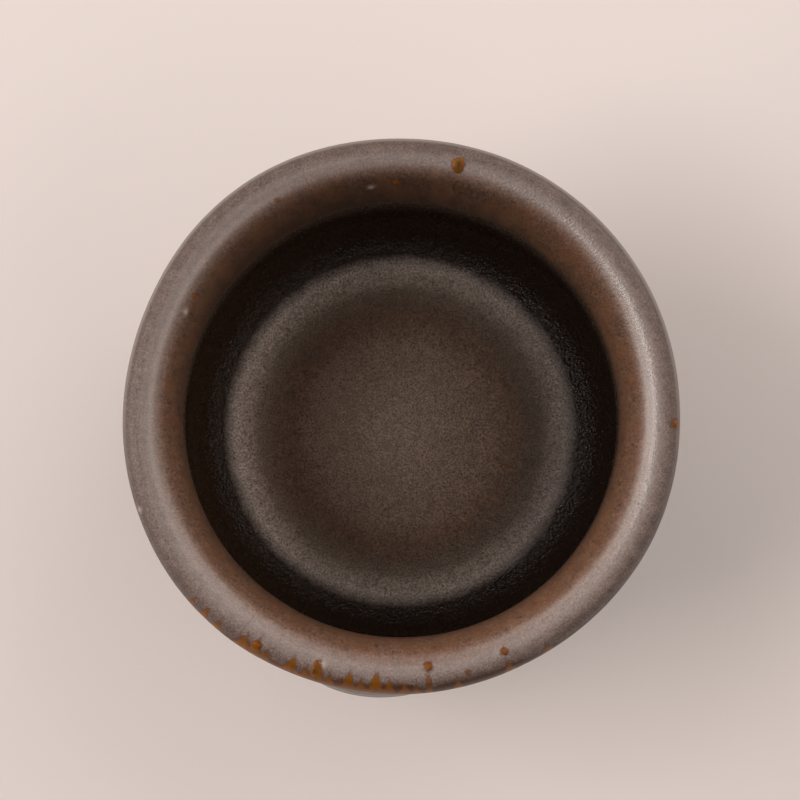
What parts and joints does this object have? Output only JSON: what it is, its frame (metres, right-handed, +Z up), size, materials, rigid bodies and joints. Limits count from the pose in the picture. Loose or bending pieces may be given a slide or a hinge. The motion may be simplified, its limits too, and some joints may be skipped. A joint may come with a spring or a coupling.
{
  "type": "guinomi sake cup",
  "caption": "Small footed stoneware sake cup with a thick rolled lip, dark iron glaze, an amber-broken lip edge and a hanging glaze run.",
  "frame": {"origin": "centre of the foot ring's underside, on the table", "axes": "+Z up along the cup's axis, towards the open mouth; -Y towards the side with the glaze run"},
  "size_m": [0.0626, 0.0633, 0.0487],
  "materials": {
    "bare_clay": "bare dark stoneware, sandy and matt",
    "iron_glaze": "satin iron glaze, near black in the well and grey-brown over the lip, with a fine leathery grain",
    "amber_glaze": "glossy amber and rust where the glaze breaks thin",
    "coat_glaze": "satin grey-brown iron glaze with faint throwing rings"
  },
  "bodies": {
    "root": {"clay_bowl": "bare_clay", "foot_ring": "bare_clay", "inner_glaze": "iron_glaze", "edge_glaze": "amber_glaze", "outer_glaze": "coat_glaze", "glaze_run": "coat_glaze", "amber_beads": "amber_glaze"}
  },
  "joints": []
}
